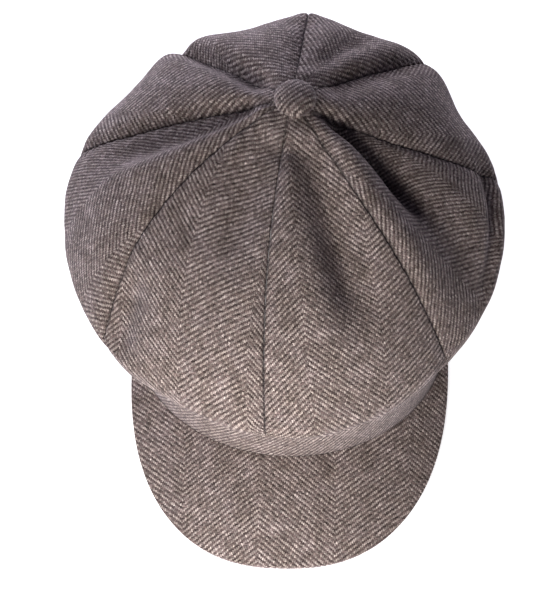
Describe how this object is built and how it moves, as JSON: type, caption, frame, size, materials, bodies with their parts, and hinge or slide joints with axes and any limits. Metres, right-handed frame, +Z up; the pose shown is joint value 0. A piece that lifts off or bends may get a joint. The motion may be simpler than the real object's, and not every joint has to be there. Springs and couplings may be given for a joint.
{
  "type": "newsboy cap",
  "caption": "Full-crowned cloth cap of sewn panels on a headband, with a stiff front peak and a covered top button.",
  "frame": {"origin": "middle of the bottom of the cap's box, on the surface that the headband and the peak rest on", "axes": "+Z up, +Y towards the back of the head, -Y towards the peak, +X to the right in a front view"},
  "size_m": [0.2676, 0.33, 0.1383],
  "materials": {
    "crown_tweed": "brushed wool herringbone",
    "band_tweed": "brushed wool herringbone",
    "peak_tweed": "brushed wool herringbone over a stiff board",
    "button_tweed": "brushed wool herringbone over a hard shell"
  },
  "bodies": {
    "root": {"panel_front_right": "crown_tweed", "panel_right_front": "crown_tweed", "panel_right_back": "crown_tweed", "panel_back_right": "crown_tweed", "panel_back_left": "crown_tweed", "panel_left_back": "crown_tweed", "panel_left_front": "crown_tweed", "panel_front_left": "crown_tweed", "headband": "band_tweed", "peak": "peak_tweed", "button": "button_tweed"}
  },
  "joints": []
}
